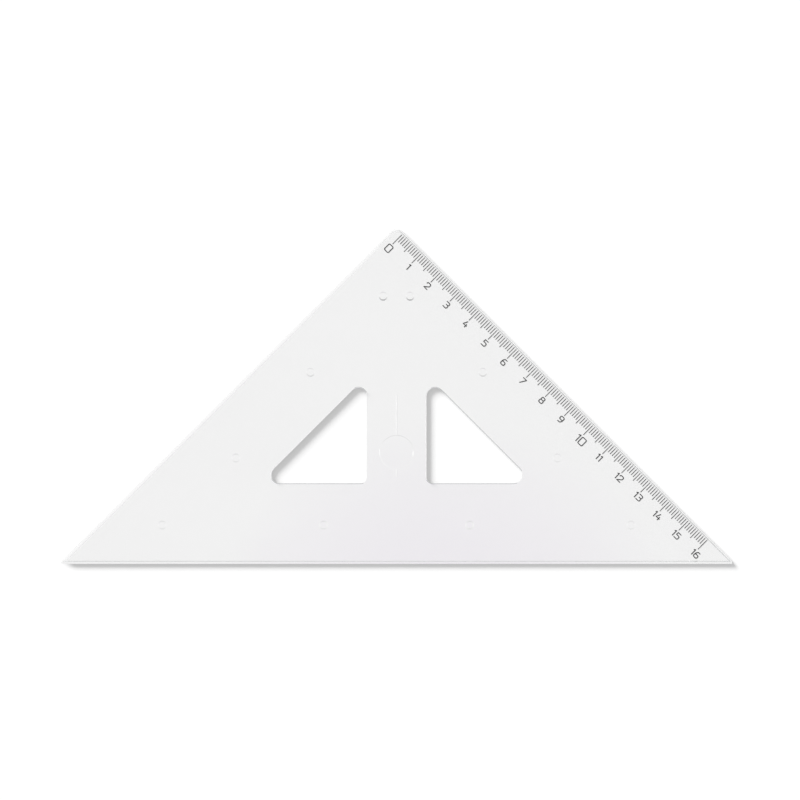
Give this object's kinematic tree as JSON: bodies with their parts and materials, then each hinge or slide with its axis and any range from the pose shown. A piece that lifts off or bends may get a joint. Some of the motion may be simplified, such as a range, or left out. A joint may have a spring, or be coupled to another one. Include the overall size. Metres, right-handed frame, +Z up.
{
  "type": "drafting triangle",
  "caption": "Clear flat drafting triangle with equal legs, triangular windows, bevelled edges and a black centimetre scale along one leg.",
  "frame": {"origin": "middle of the long edge, on the underside, where the plate rests", "axes": "+X along the long edge towards the tip where the scale ends, +Y square to the long edge towards the right angle, +Z up out of the face with the ledges, away from the printed underside"},
  "size_m": [0.2484, 0.1237, 0.0021],
  "materials": {
    "clear_plastic": "clear moulded polystyrene, polished",
    "black_ink": "thin printed ink, satin"
  },
  "bodies": {
    "root": {"plate": "clear_plastic", "millimetre_ticks": "black_ink", "half_centimetre_ticks": "black_ink", "centimetre_ticks": "black_ink", "numeral_0": "black_ink", "numeral_1": "black_ink", "numeral_2": "black_ink", "numeral_3": "black_ink", "numeral_4": "black_ink", "numeral_5": "black_ink", "numeral_6": "black_ink", "numeral_7": "black_ink", "numeral_8": "black_ink", "numeral_9": "black_ink", "numeral_10": "black_ink", "numeral_11": "black_ink", "numeral_12": "black_ink", "numeral_13": "black_ink", "numeral_14": "black_ink", "numeral_15": "black_ink", "numeral_16": "black_ink"}
  },
  "joints": []
}
